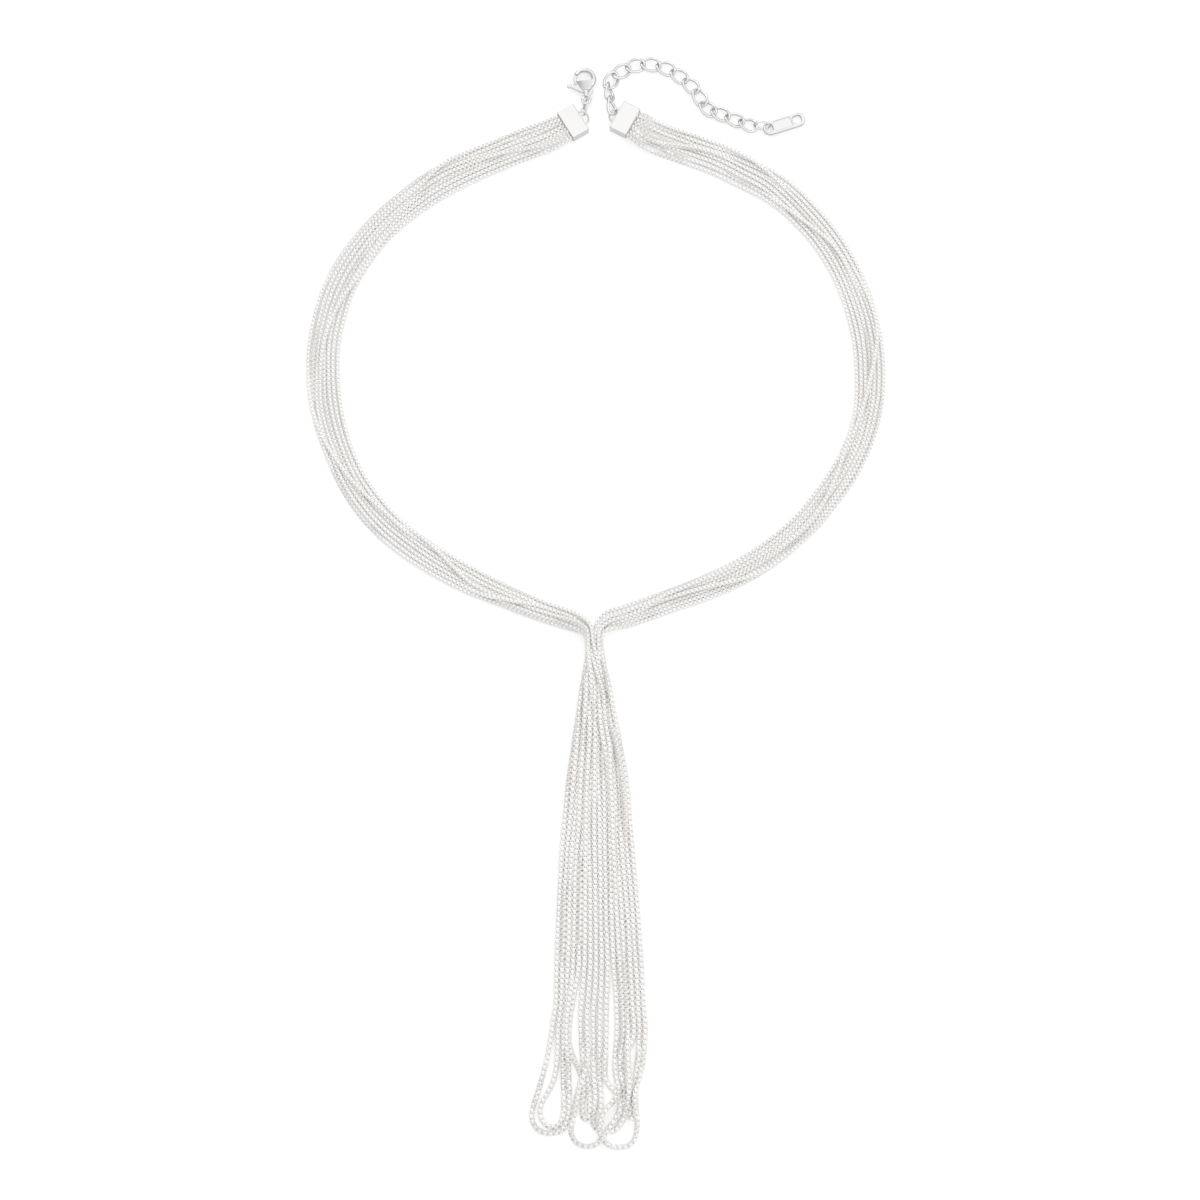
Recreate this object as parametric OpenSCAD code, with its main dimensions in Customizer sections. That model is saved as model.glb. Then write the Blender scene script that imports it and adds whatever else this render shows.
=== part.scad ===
// Tassel necklace, laid out in a heart-like loop on a flat surface.
// Eight box chain strands run side by side from one end cap, down into a
// narrow neck, through the tassel as hanging loops, and up to the other cap.
// Millimetres. +Z up from the surface, +Y towards the clasp, +X to the right.
// The chain bands and the tassel are solids of their outer form.

/* [Chain] */
// Number of chain strands side by side
strands = 8; // [6:1:9]
// Width and height of one box chain strand
strand_w = 1.15; // [1.0:0.05:1.25]
// Share of the band's section that the strands fill
fill = 0.87; // [0.8:0.01:0.95]
// Greatest height of the bundle, at the narrow neck above the tassel
neck_h = 4.6; // [4.0:0.1:5.0]

/* [End caps] */
// Width of an end cap, across the strands
cap_w = 8.2; // [8.0:0.1:8.8]
// Length of an end cap, along the strands
cap_l = 4.8; // [4.4:0.1:5.2]
// Height of an end cap
cap_h = 2.8; // [2.7:0.1:3.2]
// Wall of the folded sheet
cap_wall = 0.35; // [0.3:0.05:0.4]
// Radius of the half-round wire loop on the end of a cap, to its wire's middle
loop_r = 1.9; // [1.8:0.05:2.0]
// Thickness of that wire
loop_wire = 0.45; // [0.4:0.05:0.5]

/* [Clasp] */
// Thickness of the lobster clasp's body
clasp_t = 2.2; // [2.1:0.1:2.6]
// Thickness of the lever's plate
lever_t = 0.8; // [0.6:0.1:0.9]
// Side gap between the lever and each cheek of the body
lever_gap = 0.1; // [0.05:0.05:0.2]
// Radius of the rivet that the lever turns on
rivet_r = 0.3; // [0.2:0.05:0.35]
// Radial clearance of the lever's bore round the rivet
bore_gap = 0.03; // [0.02:0.01:0.05]
// Radius of the eye, to its wire's middle
eye_r = 1.0; // [0.95:0.05:1.05]
// Thickness of the eye's wire
eye_wire = 0.7; // [0.6:0.05:0.7]

/* [Extender] */
// Outer length of one curb link
link_l = 5.5; // [5.5:0.05:5.6]
// Outer width of one curb link
link_w = 3.9; // [3.85:0.05:4.0]
// Thickness of a curb link's wire
link_wire = 0.7; // [0.5:0.05:0.7]
// Height of the twist of a curb link's centreline, up and down
link_twist = 0.45; // [0.42:0.01:0.5]

/* [Tag] */
// Length of the end tag
tag_l = 11.3; // [10.8:0.1:12]
// Width of the end tag
tag_w = 3.7; // [3.5:0.1:4]
// Thickness of the end tag
tag_t = 1.0; // [0.8:0.1:1.1]
// Depth of the bare recessed panel on the tag's face
panel_d = 0.25; // [0.1:0.05:0.35]

/* [Hidden] */
$fn = 32;

// the middle of the whole outline in the layout's own coordinates
mid = [-1.049, 3.355];

steel = [0.86, 0.86, 0.87];
dark_steel = [0.78, 0.78, 0.79];

// ---- places: x, y of the middle, angle of the closed end's outward normal
left_cap = [-6.9, 126.4, 31];
right_cap = [6.4, 127.2, 152];
// how far the wire loop sits off the middle of the closed end, to its low side
loop_off = 0.15;

// clasp: x, y of the eye's middle, turn
clasp = [-3.5, 132.75, 2];
// lever pivot in the clasp's own coordinates
pivot = [0, 2.75];

// ---- chain bands: x, y, width, height of the underside over the surface
right_path = [
    [  6.9, 126.9, 7.0, 0.5], [  8.7, 126.0, 7.0, 0.5],
    [ 12.1, 123.6, 8.8, 0], [ 18.0, 121.1, 9.1, 0], [ 24.2, 118.9, 9.0, 0],
    [ 30.3, 116.5, 8.9, 0], [ 36.2, 113.4, 8.8, 0], [ 42.6, 110.0, 8.8, 0],
    [ 48.1, 105.9, 8.3, 0], [ 53.1, 100.7, 8.0, 0], [ 57.6,  95.0, 7.9, 0],
    [ 61.4,  88.6, 7.9, 0], [ 64.4,  81.8, 8.0, 0], [ 66.5,  74.6, 8.0, 0],
    [ 67.9,  67.1, 8.0, 0], [ 68.3,  59.5, 8.0, 0], [ 68.0,  51.9, 7.6, 0],
    [ 66.5,  44.4, 7.2, 0], [ 63.8,  37.4, 7.2, 0], [ 60.2,  31.0, 7.2, 0],
    [ 55.9,  25.1, 7.0, 0], [ 51.4,  19.5, 7.0, 0], [ 46.3,  14.8, 7.0, 0],
    [ 40.9,  10.7, 7.0, 0], [ 35.2,   7.2, 7.0, 0], [ 29.4,   4.3, 6.9, 0],
    [ 23.5,   1.8, 6.6, 0], [ 17.5,  -0.4, 6.3, 0], [ 11.6,  -2.7, 6.3, 0],
    [  6.2,  -4.9, 6.2, 0], [  3.2,  -6.4, 5.2, 0], [  1.1,  -7.9, 3.7, 0],
    [  0.0,  -9.2, 2.6, 0], [ -0.2, -10.2, 2.2, 0]];
left_path = [
    [ -7.3, 126.2, 7.0, 0.5], [ -9.2, 125.0, 7.0, 0.5],
    [-13.6, 122.9, 8.8, 0], [-20.0, 120.5, 8.9, 0], [-25.9, 117.9, 8.8, 0],
    [-31.8, 115.3, 8.9, 0], [-37.7, 112.3, 9.0, 0], [-43.4, 108.8, 8.8, 0],
    [-48.9, 104.6, 8.3, 0], [-54.1, 100.0, 8.1, 0], [-58.9,  94.6, 8.2, 0],
    [-63.1,  88.5, 8.4, 0], [-66.4,  81.8, 8.5, 0], [-68.6,  74.6, 8.6, 0],
    [-69.9,  67.1, 8.6, 0], [-70.1,  59.5, 8.6, 0], [-69.4,  52.0, 8.5, 0],
    [-67.8,  44.7, 8.0, 0], [-65.4,  37.6, 7.6, 0], [-62.3,  30.8, 7.6, 0],
    [-58.4,  24.8, 7.8, 0], [-53.7,  19.4, 7.8, 0], [-48.4,  14.8, 7.8, 0],
    [-42.8,  10.9, 7.7, 0], [-37.1,   7.4, 7.5, 0], [-31.4,   4.3, 7.1, 0],
    [-25.5,   1.6, 6.3, 0], [-19.8,  -0.9, 5.9, 0], [-13.8,  -3.3, 5.6, 0],
    [ -8.3,  -5.4, 5.3, 0], [ -5.8,  -6.7, 4.6, 0], [ -4.0,  -8.1, 3.4, 0],
    [ -3.1,  -9.3, 2.5, 0], [ -2.8, -10.2, 2.2, 0]];

// ---- tassel: y, left x, right x, height of the fringe down to its hem
fringe = [
    [ -10.7, -3.9,  0.9, 4.6], [ -12.9, -3.8,  0.9, 4.6],
    [ -15.7, -3.9,  1.5, 4.5], [ -20.0, -4.7,  2.5, 4.0],
    [ -25.9, -5.6,  3.5, 3.4], [ -36.1, -7.0,  5.5, 2.7],
    [ -46.3, -8.4,  7.2, 2.3], [ -61.5, -9.9,  8.5, 2.0],
    [ -76.5, -10.7,  9.7, 1.9], [ -91.5, -11.3, 10.8, 1.8],
    [-101.4, -11.4, 11.2, 1.8], [-105.0, -11.6, 11.2, 1.8]];
// the middle and the right groups of strand ends: y, left x, right x, height
middle_ends = [
    [-104.0, -7.2,  2.2, 1.8], [-112.0, -6.6,  2.2, 1.8],
    [-119.0, -6.2,  1.6, 1.8], [-125.0, -6.2,  0.4, 1.8],
    [-129.0, -5.6,  0.6, 1.8], [-131.0, -4.2,  0.0, 1.6]];
right_ends = [
    [-104.0, 3.2, 11.2, 1.8], [-112.0, 3.9, 11.3, 1.8],
    [-120.0, 3.9, 10.2, 1.8], [-128.0, 3.8,  9.0, 1.8],
    [-131.0, 4.4,  8.6, 1.6]];
// single looped strands past the hem: x, y
hem_left_outer = [
    [-10.6, -103.0], [-12.5, -110.4], [-13.9, -116.2], [-15.6, -122.3],
    [-16.7, -127.2], [-16.4, -130.5], [-14.6, -132.8], [-11.8, -133.8],
    [ -9.2, -133.5], [ -6.8, -132.1], [ -4.9, -130.0]];
hem_left_inner = [
    [ -9.3, -103.0], [-10.6, -110.0], [-11.1, -116.2], [-11.6, -120.8],
    [-13.0, -124.6], [-14.2, -127.5], [-13.8, -129.8], [-12.1, -131.2],
    [-10.1, -131.3], [ -8.7, -129.5], [ -8.6, -124.8], [ -8.8, -116.2],
    [ -8.6, -107.0]];
hem_middle = [
    [ -4.9, -128.0], [ -6.6, -130.7], [ -6.9, -133.4], [ -6.0, -135.8],
    [ -3.8, -137.0], [ -1.2, -136.8], [  0.6, -135.3], [  2.0, -133.2],
    [  5.0, -130.0]];
hem_right = [
    [  0.2, -135.8], [  2.0, -136.6], [  3.9, -137.1], [  5.8, -136.9],
    [  7.4, -135.8], [  8.5, -133.8], [  8.9, -131.4], [  8.4, -128.0]];

// ---- small links: x, y, z of the middle, heading, roll, pitch
connectors = [
    [-3.68, 131.51, 1.11, 75.9, -58.6, -0.7],
    [-4.09, 129.75, 1.38, 79.5, 49.3, 0.0]];
connector_l = 3.05;
connector_w = 2.01;
connector_wire = 0.45;
extender = [
    [ 2.88, 130.96, 1.76,  99.8,  58.9, -2.5],
    [ 2.34, 134.64, 1.81,  94.4,  59.8, -0.1],
    [ 2.91, 138.07, 1.00,  62.0,   9.9,  0.1],
    [ 5.53, 140.54, 0.92,  30.4,   6.5, -0.2],
    [ 9.10, 142.16, 0.92,  12.6,   8.6, -1.9],
    [13.07, 142.46, 0.88,  -8.4,   6.1, -1.4],
    [16.95, 141.47, 0.84, -24.8,   3.4, -1.0],
    [20.41, 139.40, 0.81, -35.9,   1.2, -1.3],
    [23.41, 136.73, 0.84, -44.8,   0.6, -1.7],
    [25.69, 133.48, 0.80, -58.5,  -0.2,  0.1],
    [27.71, 130.43, 0.82, -39.2,  -1.3,  1.7],
    [30.93, 129.00, 0.82, -25.2,  -0.6, -0.2],
    [34.58, 127.42, 0.81, -22.0,   0.4,  0.1],
    [37.98, 125.99, 1.08, -27.4,  -9.1, -3.8]];
ring_pose = [41.57, 125.67, 1.39, -2.8, 67.4, 5.1];
ring_l = 4.6;
ring_w = 3.0;
ring_wire = 0.5;
tag_end = [41.9, 124.4];
tag_turn = 19.2;
// the ring's wire lies under the near end of the tag and lifts it
tag_lift = 0.6;

// ---- helpers
function unit(v) = v / norm(v);
// corners of a flattened section: share of half width, share of height
section = [[-0.72, 0], [0.72, 0], [0.93, 0.17], [1, 0.5], [0.93, 0.83],
           [0.72, 1], [-0.72, 1], [-0.93, 0.83], [-1, 0.5], [-0.93, 0.17]];
// height of a band of that width
function band_h(w) = min(neck_h, strands * strand_w * strand_w / fill / w);
function faces(rings, k) = concat(
    [[for (j = [0:k-1]) j]],
    [for (i = [0:rings-2]) for (j = [0:k-1])
        [i*k + j, (i+1)*k + j, (i+1)*k + (j+1)%k, i*k + (j+1)%k]],
    [[for (j = [k-1:-1:0]) (rings-1)*k + j]]);
// unit direction of a path at point i
function heading(p, i) =
    let (a = p[max(i-1, 0)], b = p[min(i+1, len(p)-1)])
    unit([b[0]-a[0], b[1]-a[1]]);

// a flattened tube along rows of x, y, width, underside height
module band(p) {
    n = len(p);
    k = len(section);
    pts = [for (i = [0:n-1])
        let (d = heading(p, i), h = p[i][3] > 0 ? 1.5 : band_h(p[i][2]))
        for (s = section)
            [p[i][0] - d[1]*s[0]*p[i][2]/2, p[i][1] + d[0]*s[0]*p[i][2]/2,
             p[i][3] + s[1]*h]];
    polyhedron(pts, faces(n, k));
}

// a flattened form from rows of y, left x, right x, height, going down in y
module strip(t) {
    k = len(section);
    pts = [for (r = t) for (s = section)
        [(r[1]+r[2])/2 + s[0]*(r[2]-r[1])/2, r[0], s[1]*r[3]]];
    polyhedron(pts, faces(len(t), k));
}

// one looped strand lying on the surface, along rows of x, y
module hem_strand(p) {
    w = strand_w * 1.1;
    band_like = [for (q = p) [q[0], q[1], w, 0]];
    n = len(p);
    k = len(section);
    pts = [for (i = [0:n-1]) let (d = heading(band_like, i)) for (s = section)
        [p[i][0] - d[1]*s[0]*w/2, p[i][1] + d[0]*s[0]*w/2, s[1]*w]];
    polyhedron(pts, faces(n, k));
}

// a closed wire link: ellipse of half axes a and b, twisted by h, wire radius r
module wire_link(a, b, h, r, n = 20, k = 8) {
    pts = [for (i = [0:n-1])
        let (t = 360*i/n,
             c = [a*cos(t), b*sin(t), h*sin(2*t)],
             d = unit([-a*sin(t), b*cos(t), 2*h*cos(2*t)]),
             u = unit(cross(d, [0, 0, 1])),
             v = cross(u, d))
        for (j = [0:k-1]) c + r*cos(360*j/k)*u + r*sin(360*j/k)*v];
    polyhedron(pts, [for (i = [0:n-1]) for (j = [0:k-1])
        [i*k + j, i*k + (j+1)%k, ((i+1)%n)*k + (j+1)%k, ((i+1)%n)*k + j]]);
}

module at_middle() { translate([mid[0]*-1, mid[1]*-1, 0]) children(); }

module posed(q) {
    at_middle() translate([q[0], q[1], q[2]]) rotate([0, 0, q[3]])
        rotate([0, q[5], 0]) rotate([q[4], 0, 0]) children();
}

// ---- end caps: a folded box, open to the chain, with a soldered wire loop
module end_cap(place, side) {
    color(steel) at_middle() translate([place[0], place[1], 0])
    rotate([0, 0, place[2]]) {
        difference() {
            translate([-cap_l/2, 0, cap_h/2]) rotate([90, 0, 90])
                linear_extrude(cap_l) offset(r = 0.3)
                    square([cap_w - 0.6, cap_h - 0.6], center = true);
            translate([-cap_l/2 - 1, -cap_w/2 + cap_wall, cap_wall])
                cube([cap_l + 1 - cap_wall, cap_w - 2*cap_wall,
                      cap_h - 2*cap_wall]);
        }
        translate([cap_l/2 - 0.1, side*loop_off, cap_h/2]) rotate([0, 0, -90])
            rotate_extrude(angle = 180) translate([loop_r, 0])
                circle(r = loop_wire/2, $fn = 20);
    }
}

module left_end_cap() { end_cap(left_cap, -1); }
module right_end_cap() { end_cap(right_cap, 1); }

module left_band() { color(dark_steel) at_middle() band(left_path); }
module right_band() { color(dark_steel) at_middle() band(right_path); }

module tassel() {
    color(dark_steel) at_middle() union() {
        strip(fringe);
        strip(middle_ends);
        strip(right_ends);
        hem_strand(hem_left_outer);
        hem_strand(hem_left_inner);
        hem_strand(hem_middle);
        hem_strand(hem_right);
    }
}

// ---- lobster clasp, in its own plane: eye at the origin, hook towards +Y
module in_clasp() {
    at_middle() translate([clasp[0], clasp[1], 0]) rotate([0, 0, clasp[2]])
        children();
}
hook_c = [-0.3, 5.75];
hook_r = 2.35;
hook_tip = 152;

module cheek_outline() {
    offset(r = 0.25) polygon([[-0.45, 1.45], [0.45, 1.45], [1.15, 2.5],
        [2.22, 4.8], [-2.3, 4.8], [-1.15, 2.5]]);
    translate([1.4, 2.66]) circle(r = 0.38);
}

module clasp_body() {
    slot_lo = clasp_t/2 - lever_t/2 - lever_gap;
    color(steel) in_clasp() difference() {
        union() {
            linear_extrude(clasp_t) cheek_outline();
            translate([0, 0, clasp_t/2]) rotate_extrude()
                translate([eye_r, 0]) circle(r = eye_wire/2, $fn = 20);
            translate([-0.5, 0.9, clasp_t/2 - 0.4]) cube([1, 0.7, 0.8]);
            translate([hook_c[0], hook_c[1], clasp_t/2]) rotate([0, 0, -18])
                rotate_extrude(angle = hook_tip + 18) translate([hook_r, 0])
                    scale([0.55, 0.85]) circle(r = 1, $fn = 24);
        }
        // slot for the lever, open to the left
        translate([-6, 1.62, slot_lo]) cube([6.98, 3.6, lever_t + 2*lever_gap]);
        translate([pivot[0], pivot[1], -1]) cylinder(r = rivet_r + 0.01, h = 5, $fn = 40);
    }
}

module lever_outline() {
    a = hook_tip;
    e = hook_c + hook_r*[cos(a), sin(a)] - 0.12*[sin(a), -cos(a)];
    out = 0.48*[cos(a), sin(a)];
    // gate arm up to the hook's tip
    polygon([[-0.2, 3.5], [-2.15, 5.15], [-2.4, 5.6], [-2.3, 6.1], e - out,
        e + out, [-3.2, 6.3], [-3.25, 5.6], [-2.95, 4.8], [-0.8, 2.6]]);
    // thumb tab
    polygon([[0, 3.2], [-3.0, 4.15], [-3.5, 3.35], [-0.4, 1.98]]);
    hull() {
        translate([-4.45, 3.82]) circle(r = 0.48, $fn = 32);
        translate([-3.3, 3.76]) circle(r = 0.45, $fn = 32);
    }
    translate(pivot) circle(r = 0.82, $fn = 40);
}

module clasp_lever() {
    color(steel) in_clasp() translate([0, 0, clasp_t/2 - lever_t/2])
    difference() {
        linear_extrude(lever_t) lever_outline();
        translate([pivot[0], pivot[1], -1])
            cylinder(r = rivet_r + bore_gap, h = 3, $fn = 40);
    }
}

module clasp_rivet() {
    color(dark_steel) in_clasp() translate([pivot[0], pivot[1], 0.05])
        cylinder(r = rivet_r, h = clasp_t - 0.1, $fn = 40);
}

module connector(i) {
    color(steel) posed(connectors[i])
        wire_link((connector_l - connector_wire)/2,
                  (connector_w - connector_wire)/2, 0, connector_wire/2, 16);
}
module connector_link_1() { connector(0); }
module connector_link_2() { connector(1); }

module extender_link(i) {
    color(i % 2 == 0 ? steel : dark_steel) posed(extender[i])
        wire_link((link_l - link_wire)/2, (link_w - link_wire)/2,
                  link_twist, link_wire/2);
}

module tag_ring() {
    color(steel) posed(ring_pose)
        wire_link((ring_l - ring_wire)/2, (ring_w - ring_wire)/2, 0,
                  ring_wire/2, 20);
}

// ---- end tag: a flat bar with round ends, a slot at each end, a bare panel
module bar(x0, x1, w) {
    hull() {
        translate([x0 + w/2, 0]) circle(d = w, $fn = 48);
        translate([x1 - w/2, 0]) circle(d = w, $fn = 48);
    }
}
module soft_slot(x0, x1, w, r) {
    translate([(x0 + x1)/2, 0]) offset(r = r)
        square([x1 - x0 - 2*r, w - 2*r], center = true);
}
module tag() {
    color(steel) at_middle() translate([tag_end[0], tag_end[1], tag_lift])
    rotate([0, asin(tag_lift/tag_l), tag_turn]) difference() {
        linear_extrude(tag_t) bar(0, tag_l, tag_w);
        translate([0, 0, -1]) linear_extrude(4) {
            soft_slot(0.65, 2.5, 2.3, 0.7);
            soft_slot(tag_l - 3.3, tag_l - 1.0, 2.2, 0.7);
        }
        translate([0, 0, tag_t - panel_d]) linear_extrude(2)
            soft_slot(3.0, tag_l - 3.75, tag_w - 1.2, 0.3);
    }
}

left_end_cap();
right_end_cap();
left_band();
right_band();
tassel();
clasp_body();
clasp_lever();
clasp_rivet();
connector_link_1();
connector_link_2();
extender_link(0);  // extender_link_01
extender_link(1);  // extender_link_02
extender_link(2);  // extender_link_03
extender_link(3);  // extender_link_04
extender_link(4);  // extender_link_05
extender_link(5);  // extender_link_06
extender_link(6);  // extender_link_07
extender_link(7);  // extender_link_08
extender_link(8);  // extender_link_09
extender_link(9);  // extender_link_10
extender_link(10);  // extender_link_11
extender_link(11);  // extender_link_12
extender_link(12);  // extender_link_13
extender_link(13);  // extender_link_14
tag_ring();
tag();
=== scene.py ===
# Tassel necklace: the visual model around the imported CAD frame.
import math
import bpy
import numpy as np
from mathutils import Matrix, Vector


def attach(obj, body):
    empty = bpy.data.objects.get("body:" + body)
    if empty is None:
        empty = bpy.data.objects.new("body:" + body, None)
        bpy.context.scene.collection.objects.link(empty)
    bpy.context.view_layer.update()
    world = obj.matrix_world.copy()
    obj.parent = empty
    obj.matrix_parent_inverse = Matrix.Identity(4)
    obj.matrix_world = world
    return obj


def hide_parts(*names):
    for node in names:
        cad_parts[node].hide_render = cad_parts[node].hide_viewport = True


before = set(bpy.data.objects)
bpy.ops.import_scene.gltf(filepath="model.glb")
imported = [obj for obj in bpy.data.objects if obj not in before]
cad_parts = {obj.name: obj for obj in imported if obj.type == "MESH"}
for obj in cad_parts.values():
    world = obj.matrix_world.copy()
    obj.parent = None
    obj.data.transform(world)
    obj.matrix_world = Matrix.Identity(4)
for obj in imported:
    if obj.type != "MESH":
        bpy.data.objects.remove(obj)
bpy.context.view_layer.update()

MID = np.array([-1.049, 3.355])      # middle of the laid-out outline, millimetres


# ------------------------------------------------------------------ helpers
def row(P):
    """layout millimetres -> metres in the CAD frame"""
    P = np.asarray(P, float)
    return np.column_stack([P[:, 0] - MID[0], P[:, 1] - MID[1], P[:, 2]]) / 1000.0


def make_mesh(name, verts, quads, smooth_angle=40.0):
    """verts in metres, faces all with the same number of corners"""
    verts = np.ascontiguousarray(verts, np.float32)
    quads = np.ascontiguousarray(quads, np.int32)
    m = bpy.data.meshes.new(name)
    k = quads.shape[1]
    m.vertices.add(len(verts))
    m.vertices.foreach_set("co", verts.ravel())
    m.loops.add(quads.size)
    m.loops.foreach_set("vertex_index", quads.ravel())
    m.polygons.add(len(quads))
    m.polygons.foreach_set("loop_start", np.arange(0, quads.size, k, dtype=np.int32))
    m.polygons.foreach_set("use_smooth", np.ones(len(quads), bool))
    m.update(calc_edges=True)
    m.validate()
    if smooth_angle:
        m.set_sharp_from_angle(angle=math.radians(smooth_angle))
    o = bpy.data.objects.new(name, m)
    bpy.context.scene.collection.objects.link(o)
    return o


def piece(o, mat, slot, body, *nodes):
    o.data.materials.append(mat)
    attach(o, body)
    if nodes:
        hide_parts(*nodes)
    return o


def rot(axis, deg):
    return np.array(Matrix.Rotation(math.radians(deg), 3, axis))


# ------------------------------------------- rounded solids from distances
def poly(x, y, pts):
    """signed distance to a polygon"""
    d = np.full(x.shape, 1e9)
    s = np.ones(x.shape)
    for i in range(len(pts)):
        (ax, ay), (bx, by) = pts[i], pts[i - 1]
        ex, ey, wx, wy = bx - ax, by - ay, x - ax, y - ay
        t = np.clip((wx * ex + wy * ey) / (ex * ex + ey * ey), 0, 1)
        d = np.minimum(d, (wx - ex * t) ** 2 + (wy - ey * t) ** 2)
        c1, c2, c3 = y >= ay, y < by, ex * wy > ey * wx
        s = np.where((c1 & c2 & c3) | (~c1 & ~c2 & ~c3), -s, s)
    return s * np.sqrt(d)


def box2(x, y, cx, cy, hx, hy, r=0.0):
    qx, qy = np.abs(x - cx) - hx + r, np.abs(y - cy) - hy + r
    return np.minimum(np.maximum(qx, qy), 0) + np.hypot(np.maximum(qx, 0), np.maximum(qy, 0)) - r


def capsule2(x, y, ax, ay, bx, by, r):
    ex, ey = bx - ax, by - ay
    t = np.clip(((x - ax) * ex + (y - ay) * ey) / (ex * ex + ey * ey), 0, 1)
    return np.hypot(x - ax - ex * t, y - ay - ey * t) - r


def raised(d2, z, lo, hi, r):
    """the outline d2 raised from lo to hi, its edges rounded by r"""
    a, b = d2 + r, np.abs(z - (lo + hi) / 2) - (hi - lo) / 2 + r
    return np.minimum(np.maximum(a, b), 0) + np.hypot(np.maximum(a, 0), np.maximum(b, 0)) - r


def blend_in(a, b, k):
    h = np.clip(0.5 + 0.5 * (b - a) / k, 0, 1)
    return b * (1 - h) + a * h - k * h * (1 - h)


def cut(a, b, k):
    return -blend_in(-a, b, k)


def solid(name, f, lo, hi, h, turn, shift, smooth_angle=0.0):
    """mesh of f = 0 by surface nets, its points then moved onto the surface.
    lo, hi, h in local millimetres; turn and shift place it in the layout"""
    lo, hi = np.array(lo, float), np.array(hi, float)
    axes = [np.arange(lo[i], hi[i] + h, h) for i in range(3)]
    V = f(*np.meshgrid(*axes, indexing="ij"))
    n = np.array(V.shape) - 1
    acc, cnt = np.zeros((*n, 3)), np.zeros(n)
    found = []
    for ax in range(3):
        a, b = [slice(None)] * 3, [slice(None)] * 3
        a[ax], b[ax] = slice(0, -1), slice(1, None)
        va, vb = V[tuple(a)], V[tuple(b)]
        cross = (va < 0) != (vb < 0)
        idx = np.argwhere(cross)
        t = va[cross] / (va[cross] - vb[cross])
        p = idx.astype(float)
        p[:, ax] += t
        o = [i for i in range(3) if i != ax]
        ring = []
        for du, dv in ((0, 0), (1, 0), (1, 1), (0, 1)):
            c = idx.copy()
            c[:, o[0]] -= du
            c[:, o[1]] -= dv
            c = np.clip(c, 0, n - 1)
            np.add.at(acc, tuple(c.T), p)
            np.add.at(cnt, tuple(c.T), 1)
            ring.append(c)
        found.append((ring, (va[cross] < 0) ^ (ax == 1)))
    used = cnt > 0
    index = np.full(n, -1)
    index[used] = np.arange(used.sum())
    P = acc[used] / cnt[used][:, None] * h + lo
    quads = []
    for ring, keep in found:
        q = np.stack([index[tuple(c.T)] for c in ring], 1)
        q[~keep] = q[~keep][:, ::-1]
        quads.append(q)
    quads = np.vstack(quads)
    e = h * 0.08
    for _ in range(4):
        v = f(*P.T)
        g = np.stack([(f(*(P + d).T) - f(*(P - d).T)) / (2 * e) for d in np.eye(3) * e], 1)
        g2 = np.maximum((g * g).sum(1), 0.05)
        P = P - np.clip(v / g2, -0.4 * h, 0.4 * h)[:, None] * g
    return make_mesh(name, row(P @ turn.T + shift), quads, smooth_angle)


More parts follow.
